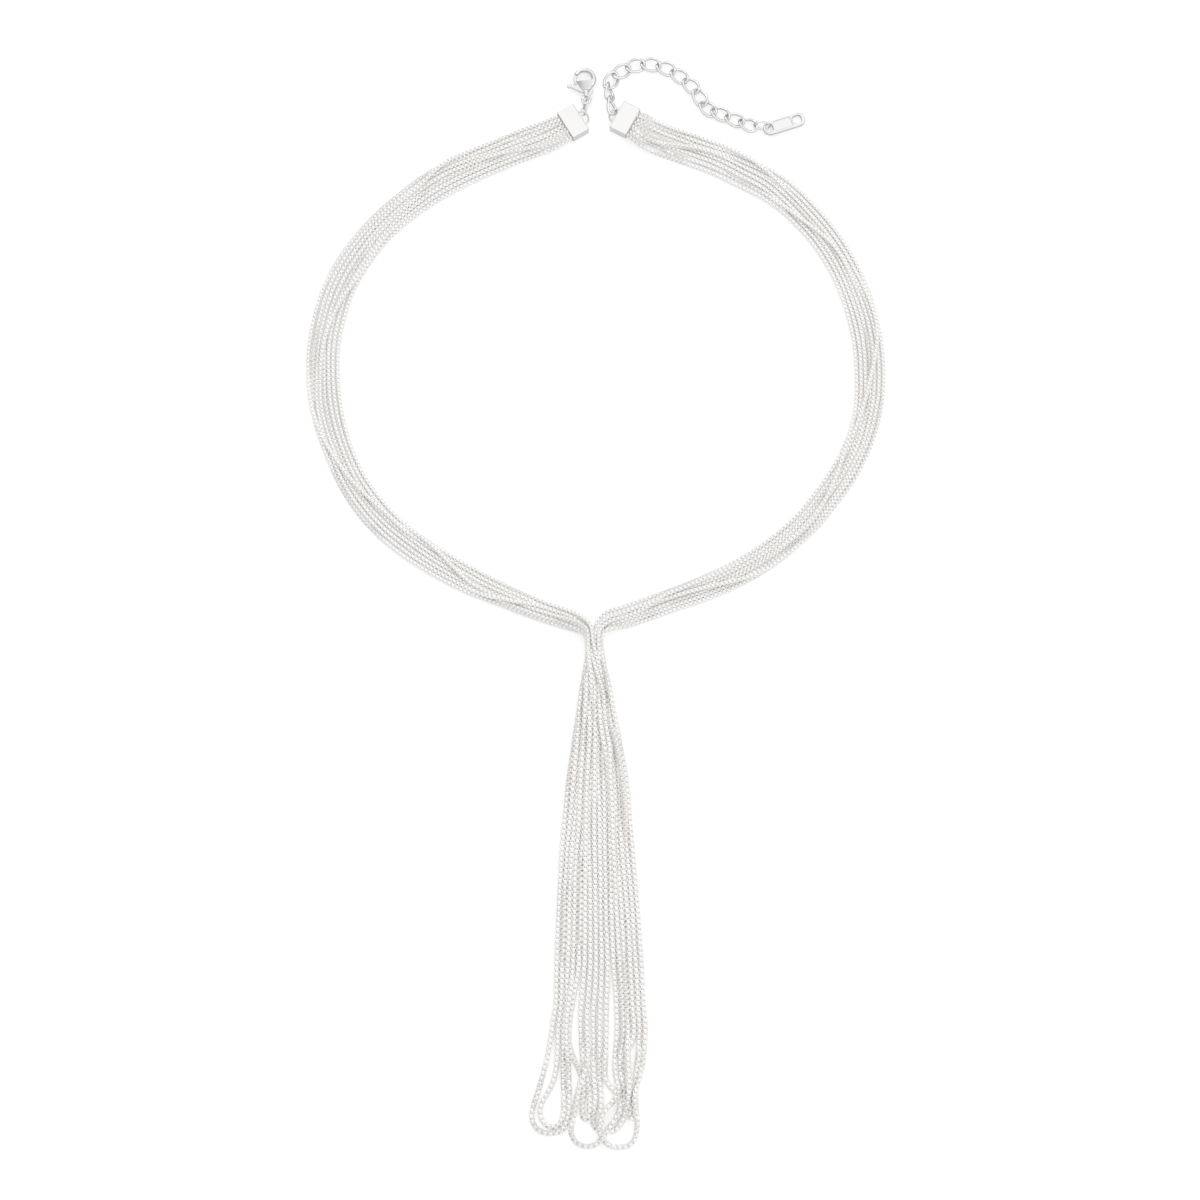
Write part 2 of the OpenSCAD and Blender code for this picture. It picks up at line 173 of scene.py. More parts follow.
# ------------------------------------------------------------------ metals
def metal(name, base, tint, rough, spread, fine, bump, grain, edge_tone_and_shade_amount=0.12, rim=0.0, dark=0.36, edge=0.97, turn=(0.18, 0.80)):
    """polished metal: faint clouds of colour, uneven polish, fine scratches, convex edges tinted towards the edge
    colour (brighter where it is light, a painted shade outline where it is dark) and a painted shade, darker where
    the surface turns away"""
    m = bpy.data.materials.new(name)
    m.use_nodes = True
    nt = m.node_tree
    N, L = nt.nodes, nt.links
    out = N["Principled BSDF"]
    out.inputs["Metallic"].default_value = 1.0
    where = N.new("ShaderNodeTexCoord")
    clouds = N.new("ShaderNodeTexNoise")
    clouds.inputs["Scale"].default_value = fine * 0.35
    clouds.inputs["Detail"].default_value = 3.0
    L.new(where.outputs["Object"], clouds.inputs["Vector"])
    ramp = N.new("ShaderNodeValToRGB")
    ramp.color_ramp.elements[0].position, ramp.color_ramp.elements[1].position = 0.3, 0.72
    ramp.color_ramp.elements[0].color = (*tint, 1)
    ramp.color_ramp.elements[1].color = (*base, 1)
    L.new(clouds.outputs["Fac"], ramp.inputs["Fac"])
    # convex edges found by pointiness, mixed towards the edge colour: a dark edge colour paints shade, dark outlines
    # along the edges; a light one makes the edges brighter
    edges = N.new("ShaderNodeNewGeometry")
    edge_tone_and_shade = N.new("ShaderNodeMapRange")
    sharp = (0.56, 0.66) if edge > 0.25 else (0.505, 0.55)
    edge_tone_and_shade.inputs["From Min"].default_value, edge_tone_and_shade.inputs["From Max"].default_value = sharp
    edge_tone_and_shade.inputs["To Min"].default_value, edge_tone_and_shade.inputs["To Max"].default_value = 0.0, edge_tone_and_shade_amount
    L.new(edges.outputs["Pointiness"], edge_tone_and_shade.inputs["Value"])
    mix = N.new("ShaderNodeMix")
    mix.data_type = "RGBA"
    L.new(edge_tone_and_shade.outputs["Result"], mix.inputs["Factor"])
    L.new(ramp.outputs["Color"], mix.inputs[6])
    mix.inputs[7].default_value = (edge, edge * 0.995, edge * 0.99, 1)
    # painted shade: the colour darkens towards dark where the surface turns away from the view
    turned_away = N.new("ShaderNodeLayerWeight")
    turned_away.inputs["Blend"].default_value = 0.5
    facing_shade_amount = N.new("ShaderNodeMapRange")
    facing_shade_amount.inputs["From Min"].default_value, facing_shade_amount.inputs["From Max"].default_value = turn
    facing_shade_amount.inputs["To Min"].default_value, facing_shade_amount.inputs["To Max"].default_value = 0.0, rim
    L.new(turned_away.outputs["Facing"], facing_shade_amount.inputs["Value"])
    shade = N.new("ShaderNodeMix")
    shade.data_type = "RGBA"
    L.new(facing_shade_amount.outputs["Result"], shade.inputs["Factor"])
    L.new(mix.outputs[2], shade.inputs[6])
    shade.inputs[7].default_value = (dark, dark * 0.985, dark * 0.965, 1)
    L.new(shade.outputs[2], out.inputs["Base Color"])
    polish = N.new("ShaderNodeTexNoise")
    polish.inputs["Scale"].default_value = fine
    polish.inputs["Detail"].default_value = 4.0
    L.new(where.outputs["Object"], polish.inputs["Vector"])
    level = N.new("ShaderNodeMapRange")
    level.inputs["From Min"].default_value, level.inputs["From Max"].default_value = 0.3, 0.7
    level.inputs["To Min"].default_value, level.inputs["To Max"].default_value = rough - spread, rough + spread
    L.new(polish.outputs["Fac"], level.inputs["Value"])
    L.new(level.outputs["Result"], out.inputs["Roughness"])
    stretch = N.new("ShaderNodeMapping")
    stretch.inputs["Scale"].default_value = (1.0, 0.22, 1.0)
    L.new(where.outputs["Object"], stretch.inputs["Vector"])
    marks = N.new("ShaderNodeTexNoise")
    marks.inputs["Scale"].default_value = grain
    marks.inputs["Detail"].default_value = 5.0
    L.new(stretch.outputs["Vector"], marks.inputs["Vector"])
    b = N.new("ShaderNodeBump")
    b.inputs["Strength"].default_value = bump
    b.inputs["Distance"].default_value = 0.00002
    L.new(marks.outputs["Fac"], b.inputs["Height"])
    L.new(b.outputs["Normal"], out.inputs["Normal"])
    return m


# the caps, clasp, gate and tag take a dark edge colour, painted shade outlines along their edges; these and the links
# also take a painted shade where the surface turns away
chain_metal = metal("chain_metal", (0.985, 0.969, 0.950), (0.955, 0.934, 0.910), 0.42, 0.08, 900, 0.25, 5200)
cap_metal = metal("cap_metal", (0.93, 0.925, 0.92), (0.90, 0.89, 0.88), 0.16, 0.04, 260, 0.18, 2600, 0.9, 0.7, edge=0.20)
clasp_metal = metal("clasp_metal", (0.86, 0.86, 0.86), (0.80, 0.80, 0.80), 0.13, 0.05, 420, 0.2, 3600, 0.6, 1.0, 0.13, 0.35)
lever_metal = metal("lever_metal", (0.84, 0.84, 0.84), (0.77, 0.77, 0.77), 0.17, 0.05, 420, 0.25, 4200, 0.8, 1.0, 0.15, 0.30)
rivet_metal = metal("rivet_metal", (0.84, 0.84, 0.84), (0.78, 0.78, 0.77), 0.24, 0.06, 900, 0.3, 5000)
# the links' wire gets a strong painted shade where it turns away, dark outlines along its sides
link_metal = metal("link_metal", (0.88, 0.88, 0.875), (0.80, 0.80, 0.795), 0.15, 0.05, 500, 0.2, 4200, rim=1.0, dark=0.06, turn=(0.12, 0.62))
tag_metal = metal("tag_metal", (0.91, 0.91, 0.91), (0.87, 0.87, 0.87), 0.17, 0.05, 420, 0.22, 3800, 0.9, 1.0, 0.14, 0.24)



def painted_side_shade(m, x0, x1, y0, y1, grey):
    """painted shade: a greyer field from y0 to y1, strongest at x0 and faded out at x1, in metres"""
    nt = m.node_tree
    N, L = nt.nodes, nt.links
    out = N["Principled BSDF"]
    where = N.new("ShaderNodeTexCoord")
    apart = N.new("ShaderNodeSeparateXYZ")
    L.new(where.outputs["Object"], apart.inputs["Vector"])
    field = None
    for axis, a, b, fa, fb in (("X", x0, x1, 1.0, 0.12), ("Y", y1 - 0.00003, y1 + 0.00003, 1.0, 0.0),
                               ("Y", y0, y0 + 0.0006, 0.0, 1.0), ("X", x1, x1 + 0.0008, 1.0, 0.0)):
        r = N.new("ShaderNodeMapRange")
        r.inputs["From Min"].default_value, r.inputs["From Max"].default_value = a, b
        r.inputs["To Min"].default_value, r.inputs["To Max"].default_value = fa, fb
        L.new(apart.outputs[axis], r.inputs["Value"])
        if field is None:
            field = r.outputs["Result"]
            continue
        both = N.new("ShaderNodeMath")
        both.operation = "MULTIPLY"
        L.new(field, both.inputs[0])
        L.new(r.outputs["Result"], both.inputs[1])
        field = both.outputs["Value"]
    mix = N.new("ShaderNodeMix")
    mix.data_type = "RGBA"
    L.new(field, mix.inputs["Factor"])
    L.new(out.inputs["Base Color"].links[0].from_socket, mix.inputs[6])
    mix.inputs[7].default_value = (grey, grey, grey, 1)
    L.new(mix.outputs[2], out.inputs["Base Color"])


# painted shade on the clasp's cheeks, between the eye and the hook's opening, darkest towards the left
painted_side_shade(clasp_metal, -0.0047, -0.0012, 0.1313, 0.13436, 0.22)

# ---------------------------------------------------------- strands: routes
W = 1.15          # width of a box chain strand
D = 1.07          # spacing that strands keep
BIG = 1.235       # a strand in the tassel is this much wider than one in a band
STEP = 1.1        # spacing of the stations along a band
# x, y, width of the band, height that it is held at
RIGHT = [
    (6.9, 126.9, 7.2, 0.8), (8.6, 126.05, 7.4, 0.9), (9.9, 125.3, 8.4, 1.3), (12.6, 123.5, 8.9, 0.7), (18.0, 121.1, 9.1, 0), (24.2, 118.9, 9.0, 0),
    (30.3, 116.5, 8.9, 0), (36.2, 113.4, 8.8, 0), (42.6, 110.0, 8.8, 0), (48.1, 105.9, 8.3, 0), (53.1, 100.7, 8.0, 0),
    (57.6, 95.0, 7.9, 0), (61.4, 88.6, 7.9, 0), (64.4, 81.8, 8.0, 0), (66.5, 74.6, 8.0, 0), (67.9, 67.1, 8.0, 0),
    (68.3, 59.5, 8.0, 0), (68.0, 51.9, 7.6, 0), (66.5, 44.4, 7.2, 0), (63.8, 37.4, 7.2, 0), (60.2, 31.0, 7.2, 0),
    (55.9, 25.1, 7.0, 0), (51.4, 19.5, 7.0, 0), (46.3, 14.8, 7.0, 0), (40.9, 10.7, 7.0, 0), (35.2, 7.2, 7.0, 0),
    (29.4, 4.3, 6.9, 0), (23.5, 1.8, 6.6, 0), (17.5, -0.4, 6.3, 0), (11.6, -2.6, 6.3, 0), (6.2, -4.5, 6.3, 0),
    (2.6, -5.6, 6.1, 0), (0.6, -7.2, 4.7, 0), (-0.3, -8.8, 3.2, 0), (-0.35, -10.2, 2.35, 0)]
LEFT = [
    (-7.3, 126.2, 7.2, 0.8), (-9.0, 125.1, 7.4, 0.9), (-10.4, 124.4, 8.4, 1.3), (-13.8, 122.8, 8.9, 0.7), (-20.0, 120.5, 8.9, 0), (-25.9, 117.9, 8.8, 0),
    (-31.8, 115.3, 8.9, 0), (-37.7, 112.3, 9.0, 0), (-43.4, 108.8, 8.8, 0), (-48.9, 104.6, 8.3, 0), (-54.1, 100.0, 8.1, 0),
    (-58.9, 94.6, 8.2, 0), (-63.1, 88.5, 8.4, 0), (-66.4, 81.8, 8.5, 0), (-68.6, 74.6, 8.6, 0), (-69.9, 67.1, 8.6, 0),
    (-70.1, 59.5, 8.6, 0), (-69.4, 52.0, 8.5, 0), (-67.8, 44.7, 8.0, 0), (-65.4, 37.6, 7.6, 0), (-62.3, 30.8, 7.6, 0),
    (-58.4, 24.8, 7.8, 0), (-53.7, 19.4, 7.8, 0), (-48.4, 14.8, 7.8, 0), (-42.8, 10.9, 7.7, 0), (-37.1, 7.4, 7.5, 0),
    (-31.4, 4.3, 7.1, 0), (-25.5, 1.6, 6.3, 0), (-19.8, -0.9, 5.9, 0), (-13.8, -3.3, 5.6, 0), (-8.3, -5.2, 5.3, 0),
    (-5.4, -6.4, 4.8, 0), (-3.4, -7.8, 3.6, 0), (-2.75, -9.2, 2.6, 0), (-2.65, -10.2, 2.3, 0)]
# y, left edge and right edge of the fringe
FRINGE = [
    (-10.2, -3.9, 0.9), (-12.9, -3.8, 0.9), (-15.7, -3.9, 1.5), (-20.0, -4.7, 2.5), (-25.9, -5.6, 3.5), (-36.1, -7.0, 5.5),
    (-46.3, -8.4, 7.2), (-61.5, -9.9, 8.5), (-76.5, -10.7, 9.7), (-91.5, -11.3, 10.8), (-101.4, -11.4, 11.2), (-105.0, -11.6, 11.2)]
# a strand's lane at the neck's end of the left band and of the right band,
# its places among the sixteen legs above the hem, and how high its loop lies
STRANDS = {"A": (0, 1, 0, 3, 0.0), "B": (1, 0, 1, 2, 0.0), "M1": (2, 2, 4, 5, 0.15), "C": (3, 4, 6, 9, 0.5),
           "M2": (4, 3, 7, 8, 0.1), "E": (5, 7, 10, 15, 0.9), "R1": (6, 5, 11, 12, 0.3), "R2": (7, 6, 13, 14, 0.1)}
# where one strand of a band steps over the others: from s to s along the band, from lane to lane
MOVES_L = [(6, 24, 5, 3), (32, 46, 0, 2), (62, 96, 6, 3), (104, 150, 0, 5), (150, 176, 6, 2), (172, 196, 1, 4)]
MOVES_R = [(8, 26, 2, 4), (28, 42, 7, 5), (44, 72, 1, 4), (80, 112, 6, 2), (112, 146, 0, 4), (150, 180, 7, 3), (176, 198, 1, 3)]
# the loops at the hem, x and y
HEM = {
    "A": [(-11.2, -105.8), (-11.6, -108.3), (-12.1, -111.3), (-12.8, -115.2), (-13.8, -119.4), (-14.9, -123.5),
         (-16.0, -126.7), (-16.7, -129.2), (-16.6, -131.2), (-15.5, -133.0), (-13.8, -134.1), (-11.9, -134.2),
         (-10.1, -134.1), (-8.5, -132.8), (-7.7, -130.6), (-7.6, -127.2), (-7.7, -122.3), (-7.9, -116.7),
         (-8.1, -111.3), (-8.2, -107.6)],
    "B": [(-9.9, -105.8), (-10.0, -108.8), (-10.3, -113.7), (-10.6, -117.4), (-11.1, -120.6), (-11.9, -122.8),
         (-13.0, -124.8), (-14.1, -126.6), (-14.7, -128.6), (-14.4, -130.5), (-13.3, -132.1), (-11.7, -132.9),
         (-10.0, -132.4), (-9.0, -130.8), (-8.7, -128.4), (-8.8, -123.5), (-8.9, -117.4), (-8.9, -111.3),
         (-8.9, -107.6)],
    "M1": [(-7.8, -105.8), (-7.9, -108.3), (-7.8, -111.3), (-7.2, -114.2), (-6.1, -116.7), (-4.9, -118.9),
          (-4.1, -122.1), (-4.1, -125.5), (-4.5, -128.2), (-4.1, -130.6), (-3.0, -131.5), (-2.3, -130.1),
          (-2.3, -127.0), (-2.8, -123.5), (-3.4, -119.9), (-4.1, -116.2), (-4.6, -111.3), (-4.8, -106.8)],
    "C": [(-3.3, -106.3), (-3.2, -111.3), (-3.0, -115.7), (-3.7, -119.6), (-4.9, -122.8), (-5.7, -125.7),
         (-6.3, -128.7), (-6.9, -131.4), (-7.2, -133.6), (-6.5, -135.6), (-5.2, -137.0), (-3.6, -137.4),
         (-2.1, -137.4), (-0.5, -136.8), (0.7, -135.1), (2.2, -133.1), (3.6, -131.1), (4.9, -128.7), (5.2, -126.2),
         (4.0, -124.2), (2.4, -122.8), (1.1, -120.8), (1.1, -118.1), (1.4, -113.7), (1.5, -108.8)],
    "M2": [(-1.7, -106.3), (-1.5, -112.5), (-1.6, -118.1), (-1.3, -123.1), (-1.3, -127.0), (-2.2, -129.9),
          (-1.9, -132.2), (-0.7, -133.4), (0.3, -132.5), (0.2, -128.9), (0.2, -124.8), (-0.1, -119.9),
          (-0.1, -113.7), (-0.1, -107.6)],
    "E": [(4.2, -106.3), (4.0, -111.3), (3.8, -116.2), (4.0, -119.9), (4.8, -122.8), (4.3, -125.4), (2.5, -127.2),
         (0.9, -129.0), (-0.2, -131.1), (-0.3, -133.4), (0.4, -135.6), (1.8, -137.1), (3.4, -137.5), (5.1, -137.6),
         (7.2, -137.2), (8.6, -135.4), (9.0, -132.7), (8.8, -129.5), (8.4, -126.2), (8.9, -122.6), (9.9, -118.6),
         (10.7, -113.7), (10.9, -108.8), (10.9, -105.8)],
    "R1": [(5.6, -106.3), (5.4, -111.3), (4.8, -116.2), (5.0, -120.1), (5.9, -123.5), (6.0, -126.2), (4.9, -129.4),
          (3.2, -131.7), (2.0, -133.2), (2.5, -134.3), (3.8, -133.5), (5.4, -131.5), (6.6, -128.8), (7.1, -125.3),
          (7.0, -121.1), (6.7, -116.2), (6.9, -111.3), (7.0, -106.8)],
    "R2": [(8.3, -105.8), (8.6, -108.8), (8.2, -111.0), (7.0, -113.0), (6.2, -115.3), (6.0, -118.1), (6.6, -121.6),
          (7.4, -125.0), (7.6, -127.9), (7.1, -130.3), (7.8, -131.4), (8.5, -129.9), (8.4, -126.7), (8.6, -123.1),
          (9.2, -118.6), (9.5, -113.7), (9.6, -108.8)],
}
# where the sixteen legs come together above the hem
PLACES = np.array([0, 0.7, 1.38, 1.85, 2.2, 4.2, 5.3, 6.4, 7.5, 8.6, 10.55, 11.5, 12.43, 13.4, 14.3, 15])


def curve(rows, per=12):
    """a smooth curve through rows of numbers"""
    P = np.array(rows, float)
    E = np.vstack([2 * P[0] - P[1], P, 2 * P[-1] - P[-2]])
    out = []
    for i in range(1, len(E) - 2):
        p0, p1, p2, p3 = E[i - 1:i + 3]
        t = np.linspace(0, 1, per, endpoint=False)[:, None]
        out.append(0.5 * (2 * p1 + (p2 - p0) * t + (2 * p0 - 5 * p1 + 4 * p2 - p3) * t**2
                          + (3 * p1 - p0 - 3 * p2 + p3) * t**3))
    return np.vstack(out + [P[-1:]])


def arc(P):
    return np.concatenate([[0], np.cumsum(np.linalg.norm(np.diff(P, axis=0), axis=1))])


def step_up(x, a, b):
    t = np.clip((x - a) / (b - a), 0, 1)
    return t * t * (3 - 2 * t)


def stations(rows):
    S = curve(rows)
    s = arc(S[:, :2])
    at = np.linspace(0, s[-1], int(round(s[-1] / STEP)) + 1)
    R = np.stack([np.interp(at, s, S[:, k]) for k in range(4)], 1)
    t = np.gradient(R[:, :2], axis=0)
    t /= np.linalg.norm(t, axis=1)[:, None]
    return R[:, :2], np.stack([-t[:, 1], t[:, 0]], 1), R[:, 2], R[:, 3]


def lanes(s, moves):
    """each strand's place across the band, and where it rides on top, so that the strands end in order"""
    order = list(range(8))
    for s0, s1, a, b in reversed(moves):
        order.insert(a, order.pop(b))
    pos = np.array([np.full(len(s), float(order.index(k))) for k in range(8)])
    top = np.zeros((8, len(s)))
    for s0, s1, a, b in moves:
        was = list(order)
        k = order.pop(a)
        order.insert(b, k)
        w = step_up(s, s0, s1)
        for j in range(8):
            pos[j] += (order.index(j) - was.index(j)) * w
        top[k] = np.maximum(top[k], step_up(s, s0 - 7, s0 + 3) * (1 - step_up(s, s1 - 3, s1 + 7)))
    return pos, top


def push(X, Z, I, J, reach):
    """strands that are nearer than reach move apart, in the plane across them"""
    du, dz = X[I] - X[J], Z[I] - Z[J]
    d = np.hypot(du, dz) + 1e-9
    f = np.clip(reach - d, 0, None) * 0.35
    for A, g in ((X, f * du / d), (Z, f * dz / d)):
        np.add.at(A, I, g)
        np.add.at(A, J, -g)


def wander(s, rng, length, amount):
    """a smooth wandering value along s"""
    k = int(s[-1] / length) + 3
    v = rng.uniform(-1, 1, k)
    t = s / length
    i = t.astype(int)
    u = t - i
    u = u * u * (3 - 2 * u)
    return amount * (v[i] * (1 - u) + v[i + 1] * u)


def grow(y):
    """how much wider than in the bands the strands are"""
    return 1 + (BIG - 1) * step_up(-y, 8, 34)


def half_strands():
    """the eight strands of each band, down to the hem: settled under their own weight"""
    rng = np.random.default_rng(7)
    F = curve(FRINGE)
    y = np.arange(-10.2 - STEP, -104.3, -STEP)
    xl, xr = np.interp(-y, -F[:, 0], F[:, 1]), np.interp(-y, -F[:, 0], F[:, 2])
    legs = [[0] * 8, [0] * 8]
    for l, r, pl, pr, _ in STRANDS.values():
        legs[0][l], legs[1][r] = pl, pr
    sides = []
    for rows, moves, leg in ((LEFT, MOVES_L, legs[0]), (RIGHT, MOVES_R, legs[1])):
        C, lat, w, lift = stations(rows)
        n = len(C)
        s = np.arange(n) * STEP
        pos, top = lanes(s, moves)
        low = 1 - top
        rank = np.array([sum(low[j] * np.clip(pos[k] - pos[j] + 0.5, 0, 1) for j in range(8) if j != k) for k in range(8)])
        across = rank / (low.sum(0) - 1) - 0.5
        U, Z = np.zeros((8, n + len(y))), np.zeros((8, n + len(y)))
        # fresh from the cap they lie unevenly
        loose = (1 - step_up(s, 12, 26)) * step_up(s, 1, 5)
        near = np.where(s > s[-1] - 16, 1 - step_up(w, 2.4, 4.4), 0)
        b = step_up(-y, 11, 24)
        g = grow(y)
        high = np.clip(16 * 1.12 * g / (xr - xl), 1, 4)
        for k in range(8):
            column = (-0.5 if k < 4 else 0.5) * W
            stack = W / 2 + (k % 4) * W
            U[k, :n] = across[k] * np.maximum(w - W, 0.9) * (1 - near) + column * near
            Z[k, :n] = (W / 2 + top[k] * 1.05) * (1 - near) + stack * near + lift
            place = leg[k] + (PLACES[leg[k]] - leg[k]) * step_up(-y, 91, 106)
            U[k, n:] = column * (1 - b) + (xl + W * g / 2 + place * (xr - xl - W * g) / 15 - C[-1, 0]) * b
            Z[k, n:] = stack * (1 - b) + W * g * (0.5 + (leg[k] % 4) / 3 * (high - 1) * 0.9) * b
            stir = step_up(-y, 13, 20) * (1 - step_up(-y, 58, 84))
            U[k, n:] += stir * wander(-y - 10, rng, 12.0, 0.3)
            Z[k, n:] += stir * wander(-y - 10, rng, 12.0, 0.5)
            if leg[k] == 3:
                Z[k, n:] += step_up(-y, 90, 103) * 0.9 * W * BIG
            U[k, :n] += loose * wander(s, rng, 7.0, 0.45)
            Z[k, :n] += loose * np.abs(wander(s, rng, 6.0, 0.7))
        hold = 0.04 + 0.16 * step_up(s, s[-1] - 11, s[-1] - 7) * (1 - step_up(s, s[-1] - 3, s[-1]))
        hold = hold + 0.05 * (1 - step_up(s, 14, 24))
        sides.append(dict(hold=np.concatenate([hold, np.full(len(y), 0.04)]), C=C, lat=lat, w=w, lift=lift, n=n, top=top, U=U, Z=Z, TU=U.copy(), TZ=Z.copy()))
    for d in sides:
        d["U"] += rng.normal(size=d["U"].shape) * 0.02
    i8, i16 = np.triu_indices(8, 1), np.triu_indices(16, 1)
    rounds = 420
    for it in range(rounds):
        for d in sides:
            n = d["n"]
            d["Z"] -= 0.03 if it < rounds * 0.8 else 0.015
            d["U"] += d["hold"] * (d["TU"] - d["U"])
            d["Z"][:, :n] += d["top"] * 0.05 * (d["TZ"] - d["Z"])[:, :n]
        for rep in range(2):
            for d in sides:
                n = d["n"]
                U, Z = d["U"][:, :n], d["Z"][:, :n]
                push(U, Z, *i8, D)
                half = np.maximum((d["w"] - W) / 2, 0.55)
                np.clip(U, -half, half, out=U)
                np.maximum(Z, W / 2 + d["lift"] * 0.8, out=Z)
                Z[:, :3] = np.minimum(Z[:, :3], 1.86)
            X = np.vstack([d["U"][:, d["n"]:] + d["C"][-1, 0] for d in sides])
            Z = np.vstack([d["Z"][:, d["n"]:] for d in sides])
            push(X, Z, *i16, D * grow(y))
            X = np.clip(X, xl + W * grow(y) / 2, xr - W * grow(y) / 2)
            for q, d in enumerate(sides):
                d["U"][:, d["n"]:] = X[q * 8:q * 8 + 8] - d["C"][-1, 0]
                d["Z"][:, d["n"]:] = Z[q * 8:q * 8 + 8]
        for d in sides:
            for A, k in ((d["U"], 0.5), (d["Z"], 0.35)):
                A[:, 1:-1] += k * ((A[:, :-2] + A[:, 2:]) / 2 - A[:, 1:-1])
            thick = W * np.concatenate([np.ones(d["n"]), grow(y)])
            np.clip(d["Z"], thick / 2, 4.6 - thick / 2, out=d["Z"])
    halves = []
    for d in sides:
        n = d["n"]
        P = np.zeros((8, n + len(y), 3))
        P[:, :n, :2] = d["C"] + d["lat"] * d["U"][:, :n, None]
        P[:, n:, 0] = d["C"][-1, 0] + d["U"][:, n:]
        P[:, n:, 1] = y
        P[:, :, 2] = d["Z"]
        halves.append((P, np.hstack([d["top"], np.zeros((8, len(y)))])))
    return halves


def hem_loops(halves):
    """the loops that join the legs, lying on the surface and over each other"""
    (HL, _), (HR, _) = halves
    parts, G, big = [], [], W * BIG
    for name, (l, r, pl, pr, up) in STRANDS.items():
        a, b = HL[l], HR[r]
        S = curve([tuple(a[-4, :2]), tuple(a[-1, :2])] + HEM[name] + [tuple(b[-1, :2]), tuple(b[-4, :2])], 16)
        i0 = np.argmin(np.linalg.norm(S - a[-1, :2], axis=1))
        i1 = len(S) - 1 - np.argmin(np.linalg.norm(S[::-1] - b[-1, :2], axis=1))
        S = S[i0:i1 + 1]
        s = arc(S)
        t = np.linspace(0, 1, int(round(s[-1])) + 1)
        x, y = np.interp(t * s[-1], s, S[:, 0]), np.interp(t * s[-1], s, S[:, 1])
        e = step_up(t, 0, 0.15) * (1 - step_up(t, 0.85, 1))
        z = (big / 2 + 0.02 + up) * e + (a[-1, 2] * (1 - t) + b[-1, 2] * t) * (1 - e)
        parts.append(np.full(len(t), len(parts)))
        G.append(np.column_stack([x, y, z]))
    owner, G = np.concatenate(parts), np.vstack(G)
    P = G.copy()
    free = np.zeros(len(P), bool)
    free[1:-1] = (owner[1:-1] == owner[:-2]) & (owner[1:-1] == owner[2:])
    I, J = np.triu_indices(len(P), 1)
    ok = ((owner[I] != owner[J]) | (np.abs(I - J) > 2)) & (np.hypot(*(P[I, :2] - P[J, :2]).T) < 3)
    I, J, f = I[ok], J[ok], np.where(free)[0]
    for it in range(260):
        P[free, 2] -= 0.02
        P[free, :2] += 0.12 * (G[free, :2] - P[free, :2])
        d = P[I] - P[J]
        far = np.linalg.norm(d, axis=1) + 1e-9
        v = d / far[:, None] * (np.clip(big - far, 0, None) * 0.3)[:, None]
        move = np.zeros_like(P)
        np.add.at(move, I, v)
        np.add.at(move, J, -v)
        P[free] += move[free]
        P[f] += ((P[f - 1] + P[f + 1]) / 2 - P[f]) * (0.1, 0.1, 0.3)
        P[:, 2] = np.maximum(P[:, 2], big / 2)
    return [P[owner == k] for k in range(len(STRANDS))]


# ------------------------------------------------------- strands: the links
LINK = 1.10       # length of one link
STRIP = 0.67      # width of its strip
THICK = 0.24      # thickness of its strip
ROUND = 0.36      # radius of its corners


def link_shape():
    """a square loop of crowned strip: x along the chain, the loop in x and z, the strip's width in y"""
    a, c = LINK / 2, ROUND * 0.62
    corner = [(a - c, W / 2), (a, W / 2 - c)]
    path = []
    for q in range(4):
        sx, sz = ((1, 1), (1, -1), (-1, -1), (-1, 1))[q]
        pts = [(sx * x, sz * z) for x, z in corner]
        path += pts if sx * sz > 0 else pts[::-1]
    path = np.array(path)
    # outer side: two edges and a crown; inner side: two edges
    sec = [(-STRIP / 2, 0.11), (0.0, 0.0), (STRIP / 2, 0.11), (STRIP / 2 - 0.03, THICK), (-STRIP / 2 + 0.03, THICK)]
    n = len(path)
    inward = -np.sign(path)
    V = np.array([(p[0] + i[0] * d, y, p[1] + i[1] * d) for p, i in zip(path, inward) for y, d in sec])
    m = len(sec)
    F = np.array([(i * m + j, i * m + (j + 1) % m, (i + 1) % n * m + (j + 1) % m, (i + 1) % n * m + j)
                  for i in range(n) for j in range(m)])
    # faces look outwards
    c0 = V[F].mean(1)
    nrm = np.cross(V[F[:, 1]] - V[F[:, 0]], V[F[:, 2]] - V[F[:, 0]])
    if (nrm[1] * np.array([c0[1][0], 0, c0[1][2]])).sum() < 0 and (nrm[0] * np.array([c0[0][0], 0, c0[0][2]])).sum() < 0:
        F = F[:, ::-1]
    return V, F


